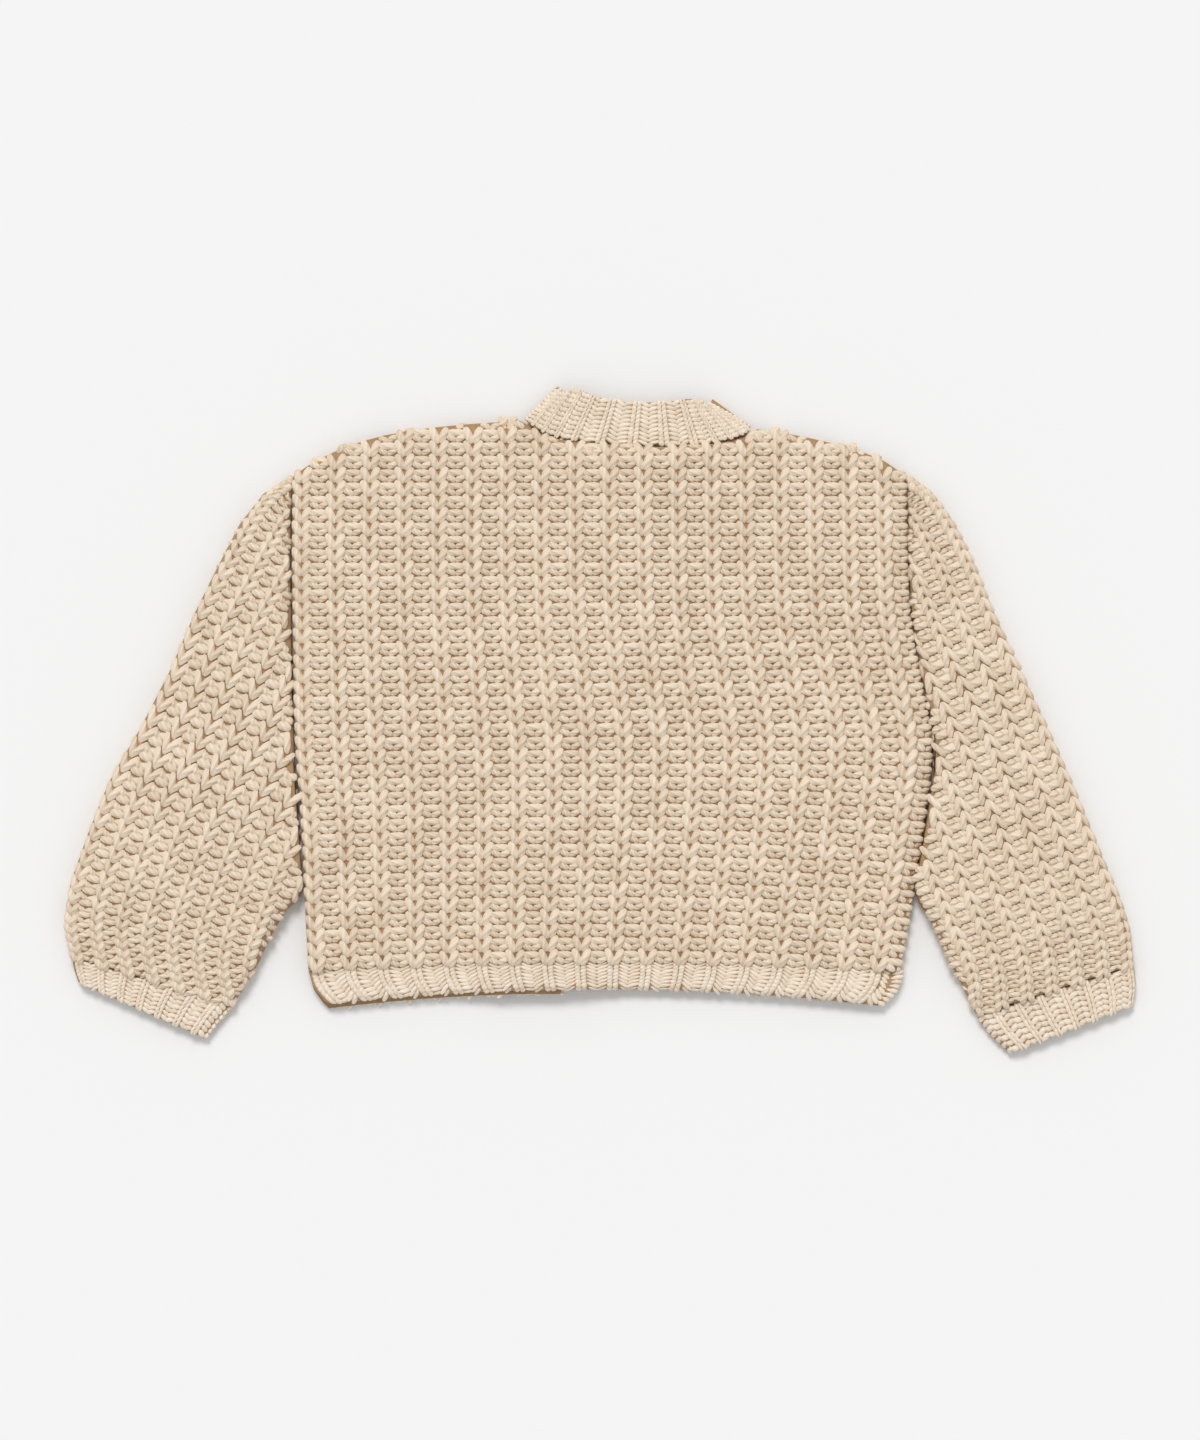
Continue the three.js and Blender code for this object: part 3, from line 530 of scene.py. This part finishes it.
def laying_tree():
    """Geometry Nodes that set a grain on every place, turned and sized by its attributes."""
    name = "lay grains of yarn"
    made = bpy.data.node_groups.get(name)
    if made:
        return made
    tree = bpy.data.node_groups.new(name, "GeometryNodeTree")
    sockets = tree.interface
    sockets.new_socket("Geometry", in_out="INPUT", socket_type="NodeSocketGeometry")
    sockets.new_socket("Grain", in_out="INPUT", socket_type="NodeSocketObject")
    sockets.new_socket("Finish", in_out="INPUT", socket_type="NodeSocketMaterial")
    sockets.new_socket("Seed", in_out="INPUT", socket_type="NodeSocketInt")
    sockets.new_socket("Unevenness", in_out="INPUT", socket_type="NodeSocketFloat")
    sockets.new_socket("Geometry", in_out="OUTPUT", socket_type="NodeSocketGeometry")
    given = tree.nodes.new("NodeGroupInput")
    result = tree.nodes.new("NodeGroupOutput")
    grain = node(tree, "GeometryNodeObjectInfo", inputs={"Object": given.outputs["Grain"]})
    turn = node(tree, "GeometryNodeInputNamedAttribute", {"data_type": "FLOAT_VECTOR"}, {"Name": "turn"})
    size = node(tree, "GeometryNodeInputNamedAttribute", {"data_type": "FLOAT_VECTOR"}, {"Name": "size"})
    turning = node(tree, "FunctionNodeEulerToRotation", inputs={"Euler": turn.outputs["Attribute"]})
    uneven = node(tree, "FunctionNodeRandomValue", {"data_type": "FLOAT"}, {"Seed": given.outputs["Seed"]})
    low = node(tree, "ShaderNodeMath", {"operation": "SUBTRACT"})
    low.inputs[0].default_value = 1.0
    tree.links.new(given.outputs["Unevenness"], low.inputs[1])
    high = node(tree, "ShaderNodeMath", {"operation": "ADD"})
    high.inputs[0].default_value = 1.0
    tree.links.new(given.outputs["Unevenness"], high.inputs[1])
    tree.links.new(low.outputs[0], uneven.inputs[2])
    tree.links.new(high.outputs[0], uneven.inputs[3])
    scaled = node(tree, "ShaderNodeVectorMath", {"operation": "SCALE"}, {"Scale": uneven.outputs[1]})
    tree.links.new(size.outputs["Attribute"], scaled.inputs[0])
    laid = node(tree, "GeometryNodeInstanceOnPoints", inputs={
        "Points": given.outputs["Geometry"], "Instance": grain.outputs["Geometry"],
        "Rotation": turning.outputs[0], "Scale": scaled.outputs[0]})
    shade = node(tree, "FunctionNodeRandomValue", {"data_type": "FLOAT"}, {"Seed": given.outputs["Seed"]})
    toned = node(tree, "GeometryNodeStoreNamedAttribute", {"data_type": "FLOAT", "domain": "INSTANCE"}, {
        "Geometry": laid.outputs[0], "Name": "tone", "Value": shade.outputs[1]})
    real = node(tree, "GeometryNodeRealizeInstances", inputs={"Geometry": toned.outputs[0]})
    worn = node(tree, "GeometryNodeSetMaterial", inputs={
        "Geometry": real.outputs[0], "Material": given.outputs["Finish"]})
    tree.links.new(worn.outputs[0], result.inputs[0])
    return tree


def grain_places(surface, side, place, repeats, rows, stitch, nominal, sink):
    """Where each grain lies: its place, its turn and its size in metres."""
    found = []
    for row in range(rows[0], rows[1]):
        for repeat in range(repeats[0], repeats[1]):
            for grain in stitch:
                across = repeat + 0.5 + grain["across"]
                up = row + 0.5 + grain["up"]
                here = place(across, up)
                beside = place(across + 0.05, up) - place(across - 0.05, up)
                along = place(across, up + 0.1) - place(across, up - 0.1)
                if along.length < 1e-4 or beside.length < 1e-4:
                    continue
                start = Vector((here.x, here.y, LOOK_FROM * side)) * MM
                hit, normal, _, _ = surface.ray_cast(start, Vector((0, 0, -side)))
                if hit is None:
                    continue
                if normal.z * side < 0:
                    normal = -normal
                if normal.z * side < LEAST_SLOPE:
                    continue
                normal = (normal + Vector((0, 0, LIE_FLAT * side))).normalized()
                spread = min(max(beside.length * 10 / nominal[0], 0.6), 1.35)
                stretch = min(max(along.length * 5 / nominal[1], 0.6), 1.35)
                lengthwise = Vector((along.x, along.y, 0)).normalized()
                lengthwise = (lengthwise - normal * lengthwise.dot(normal)).normalized()
                if along.y < 0:
                    lengthwise = -lengthwise
                turn = Matrix.Rotation(math.radians(grain["turn"]), 3, normal)
                y_axis = turn @ lengthwise
                x_axis = y_axis.cross(normal)
                basis = Matrix((x_axis, y_axis, normal)).transposed()
                lies_across = abs(grain["turn"]) > 45
                length = grain["length"] * (spread if lies_across else stretch)
                width = grain["width"] * (stretch if lies_across else spread)
                size = Vector((width, length, grain["height"])) * MM
                middle = hit - normal * (sink + grain["sunk"]) * MM
                found.append((middle, basis.to_euler(), size))
    return found


def lay_yarn(name, places, yarn, seed):
    """Sets a grain on each place and keeps the result as one plain mesh."""
    mesh = bpy.data.meshes.new(f"{name}_places")
    mesh.from_pydata([place for place, _, _ in places], [], [])
    for label, column in (("turn", 1), ("size", 2)):
        attribute = mesh.attributes.new(label, "FLOAT_VECTOR", "POINT")
        attribute.data.foreach_set("vector", [x for row in places for x in row[column]])
    spots = object_from(f"{name}_places", mesh)
    tree = laying_tree()
    modifier = spots.modifiers.new("yarn", "NODES")
    modifier.node_group = tree
    values = {"Grain": grain_of_yarn(), "Finish": finish(yarn), "Seed": seed, "Unevenness": 0.06}
    for item in tree.interface.items_tree:
        if item.in_out == "INPUT" and item.name in values:
            modifier[item.identifier] = values[item.name]
    bpy.context.view_layer.update()
    depsgraph = bpy.context.evaluated_depsgraph_get()
    yarn_mesh = bpy.data.meshes.new_from_object(spots.evaluated_get(depsgraph))
    yarn_mesh.name = name
    bpy.data.objects.remove(spots)
    return object_from(name, yarn_mesh)


def dress(name, places, yarn, seed, inset=THICK_INSET):
    """A panel: its shell in place of its solid, and its loops, riding together."""
    cloth = shell(name, inset)
    loops = lay_yarn(f"{name}_loops", places, yarn, seed)
    for made in (cloth, loops):
        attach(made, "root")
    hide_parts(name)
    return cloth


def panel_places(name, sides, place, repeats, rows, stitch=THICK_RIB,
                 nominal=(BODY_REPEAT, BODY_ROW), sink=THICK_SUNK):
    """Where a panel's grains lie, seen from above (1), from below (-1) or both."""
    surface = node_surface(name)
    found = []
    for side in sides:
        found += grain_places(surface, side, place, repeats, rows, stitch, nominal, sink)
    return found


FINE = {"stitch": FINE_RIB, "nominal": (RIB_REPEAT, RIB_ROW), "sink": FINE_SUNK}
FINE_BELOW = dict(FINE, sink=FINE_SUNK_BELOW)


# ---- The add-on ----
class CardiganSettings(bpy.types.PropertyGroup):
    seed: IntProperty(name="Seed", description="Fixes how uneven the loops are", default=7)
    camera_height: FloatProperty(
        name="Camera height", description="Height of the lens over the table", default=4.0,
        unit="LENGTH", subtype="DISTANCE")
    view_height: FloatProperty(
        name="View height", description="How much of the table the view holds, from top to bottom",
        default=0.864, unit="LENGTH", subtype="DISTANCE")


class CARDIGAN_OT_back(bpy.types.Operator):
    """Knits the back panel"""

    bl_idname = "cardigan.back"
    bl_label = "Back"

    def execute(self, context):
        seed = context.scene.cardigan.seed
        places = panel_places("back", (1,), body_place, (0, BODY_REPEATS), (0, BODY_ROWS))
        dress("back", places, "body yarn", seed)
        return {"FINISHED"}


class CARDIGAN_OT_fronts(bpy.types.Operator):
    """Knits the two fronts, which lie on the table"""

    bl_idname = "cardigan.fronts"
    bl_label = "Fronts"

    def execute(self, context):
        seed = context.scene.cardigan.seed
        cuts = {"left_front": (0.165, 0.32, None), "right_front": (0.175, 0.32, None)}
        for name, cut in cuts.items():
            places = panel_places(
                name, (-1,), body_place, (0, BODY_REPEATS), (0, BODY_ROWS), sink=THICK_SUNK_BELOW)
            dress(name, places, "body yarn", seed + 1)
        return {"FINISHED"}


class CARDIGAN_OT_sleeves(bpy.types.Operator):
    """Knits both sleeves, over and under"""

    bl_idname = "cardigan.sleeves"
    bl_label = "Sleeves"

    def execute(self, context):
        seed = context.scene.cardigan.seed
        sleeves = {"left_sleeve": LEFT_SLEEVE, "right_sleeve": RIGHT_SLEEVE}
        for name, table in sleeves.items():
            place, rows = sleeve_place(table)
            found = []
            for side, sink in ((1, THICK_SUNK), (-1, THICK_SUNK_BELOW)):
                found += panel_places(
                    name, (side,), place, (-1, 12), (-2, rows + 2),
                    nominal=(SLEEVE_REPEAT, SLEEVE_ROW), sink=sink, stitch=SLEEVE_RIB)
            dress(name, found, "body yarn", seed + 2)
        return {"FINISHED"}


class CARDIGAN_OT_hems(bpy.types.Operator):
    """Knits the hem ribs of the back and the fronts"""

    bl_idname = "cardigan.hems"
    bl_label = "Hems"

    def execute(self, context):
        seed = context.scene.cardigan.seed
        hems = {
            "back_hem": (1, (0.345, 0.018, None)),
            "left_front_hem": (-1, (0.125, 0.021, None)),
            "right_front_hem": (-1, (0.195, 0.018, None)),
        }
        for name, (side, cut) in hems.items():
            fine = FINE if side > 0 else FINE_BELOW
            found = panel_places(name, (side,), hem_place, (0, BODY_REPEATS), (-1, 10), **fine)
            dress(name, found, "rib yarn", seed + 3, FINE_INSET)
        return {"FINISHED"}


class CARDIGAN_OT_cuffs(bpy.types.Operator):
    """Knits the cuff ribs"""

    bl_idname = "cardigan.cuffs"
    bl_label = "Cuffs"

    def execute(self, context):
        seed = context.scene.cardigan.seed
        cuffs = {
            "left_cuff": (LEFT_CUFF, (0.185, 0.019, None)),
            "right_cuff": (RIGHT_CUFF, (0.19, 0.024, None)),
        }
        for name, (table, cut) in cuffs.items():
            found = []
            for side, fine in ((1, FINE), (-1, FINE_BELOW)):
                found += panel_places(
                    name, (side,), cuff_place(table), (-1, CUFF_REPEATS + 1),
                    (-2, CUFF_ROWS + 2), **fine)
            dress(name, found, "rib yarn", seed + 4, FINE_INSET)
        return {"FINISHED"}


class CARDIGAN_OT_neckband(bpy.types.Operator):
    """Knits the neckband, behind the neck and down both fronts"""

    bl_idname = "cardigan.neckband"
    bl_label = "Neckband"

    def execute(self, context):
        seed = context.scene.cardigan.seed
        found = panel_places(
            "neckband", (1,), neck_back_place, (-1, NECK_BACK_REPEATS + 1), (-2, NECK_ROWS + 2),
            **FINE)
        found += panel_places(
            "neckband", (-1,), neck_front_place, (0, NECK_FRONT_REPEATS), (-1, NECK_ROWS + 1),
            **FINE_BELOW)
        dress("neckband", found, "rib yarn", seed + 5, FINE_INSET)
        return {"FINISHED"}


class CARDIGAN_OT_bands(bpy.types.Operator):
    """Knits the two front bands"""

    bl_idname = "cardigan.bands"
    bl_label = "Front bands"

    def execute(self, context):
        seed = context.scene.cardigan.seed
        for name in ("right_front_band", "left_front_band"):
            found = panel_places(name, (-1,), band_place, (0, 2), (0, BAND_ROWS), **FINE)
            dress(name, found, "rib yarn", seed + 6, FINE_INSET)
        return {"FINISHED"}


class CARDIGAN_OT_buttons(bpy.types.Operator):
    """Turns the plain round buttons"""

    bl_idname = "cardigan.buttons"
    bl_label = "Buttons"

    def execute(self, context):
        for name in BUTTONS:
            low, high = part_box(name)
            middle = (Vector(low) + Vector(high)) / 2
            radius = (high[0] - low[0]) / 2
            work = bmesh.new()
            spine = [
                work.verts.new((middle.x + share * radius, middle.y, z * MM)) for share, z in BUTTON_SECTION
            ]
            edges = [work.edges.new(pair) for pair in zip(spine, spine[1:])]
            bmesh.ops.spin(work, geom=spine + edges, cent=(middle.x, middle.y, 0), axis=(0, 0, 1),
                           angle=2 * math.pi, steps=48, use_duplicate=False)
            bmesh.ops.remove_doubles(work, verts=work.verts, dist=1e-5)
            bmesh.ops.recalc_face_normals(work, faces=work.faces)
            mesh = bpy.data.meshes.new(f"{name}_turned")
            work.to_mesh(mesh)
            work.free()
            mesh.materials.append(finish("horn"))
            mesh.polygons.foreach_set("use_smooth", [True] * len(mesh.polygons))
            made = object_from(f"{name}_turned", mesh)
            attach(made, "root")
            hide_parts(name)
        return {"FINISHED"}


class CARDIGAN_OT_stage(bpy.types.Operator):
    """Sets out the table, the lights and the camera"""

    bl_idname = "cardigan.stage"
    bl_label = "Stage"

    def execute(self, context):
        settings = context.scene.cardigan
        mesh = bpy.data.meshes.new("table")
        half = 3.0
        mesh.from_pydata([(-half, -half, 0), (half, -half, 0), (half, half, 0), (-half, half, 0)],
                         [], [(0, 1, 2, 3)])
        table = object_from("table", mesh)
        table.location.z = -0.0006
        material = bpy.data.materials.new("pale table")
        material.use_nodes = True
        shader = material.node_tree.nodes["Principled BSDF"]
        shader.inputs["Base Color"].default_value = (0.9, 0.9, 0.9, 1)
        shader.inputs["Roughness"].default_value = 0.9
        shader.inputs["Specular IOR Level"].default_value = 0.1
        mesh.materials.append(material)

        world = bpy.data.worlds.new("soft light")
        world.use_nodes = True
        world.node_tree.nodes["Background"].inputs["Color"].default_value = (1, 1, 1, 1)
        world.node_tree.nodes["Background"].inputs["Strength"].default_value = 0.62
        context.scene.world = world
        lamp = bpy.data.lights.new("soft lamp", "SUN")
        lamp.energy = 1.5
        lamp.angle = math.radians(20)
        light = object_from("soft lamp", lamp)
        light.rotation_euler = (math.radians(-34), math.radians(-8), 0)

        lens = bpy.data.cameras.new("camera")
        lens.sensor_fit = "VERTICAL"
        lens.sensor_height = 36
        lens.lens = lens.sensor_height * settings.camera_height / settings.view_height
        lens.clip_end = 50
        camera = object_from("camera", lens)
        camera.location = (0, 0, settings.camera_height)
        context.scene.camera = camera
        context.scene.view_settings.view_transform = "Standard"
        return {"FINISHED"}


STEPS = (
    CARDIGAN_OT_stage, CARDIGAN_OT_back, CARDIGAN_OT_fronts, CARDIGAN_OT_sleeves, CARDIGAN_OT_hems,
    CARDIGAN_OT_cuffs, CARDIGAN_OT_neckband, CARDIGAN_OT_bands, CARDIGAN_OT_buttons,
)


class CARDIGAN_PT_pieces(bpy.types.Panel):
    bl_label = "Cardigan"
    bl_idname = "CARDIGAN_PT_pieces"
    bl_space_type = "VIEW_3D"
    bl_region_type = "UI"
    bl_category = "Cardigan"

    def draw(self, context):
        settings = context.scene.cardigan
        for name in ("seed", "camera_height", "view_height"):
            self.layout.prop(settings, name)
        for step in STEPS:
            self.layout.operator(step.bl_idname)


CLASSES = (CardiganSettings, *STEPS, CARDIGAN_PT_pieces)


def register():
    for each in CLASSES:
        bpy.utils.register_class(each)
    bpy.types.Scene.cardigan = PointerProperty(type=CardiganSettings)


def unregister():
    del bpy.types.Scene.cardigan
    for each in reversed(CLASSES):
        bpy.utils.unregister_class(each)


def main():
    register()
    for step in STEPS:
        group, name = step.bl_idname.split(".")
        getattr(getattr(bpy.ops, group), name)()


if __name__ == "__main__":
    main()
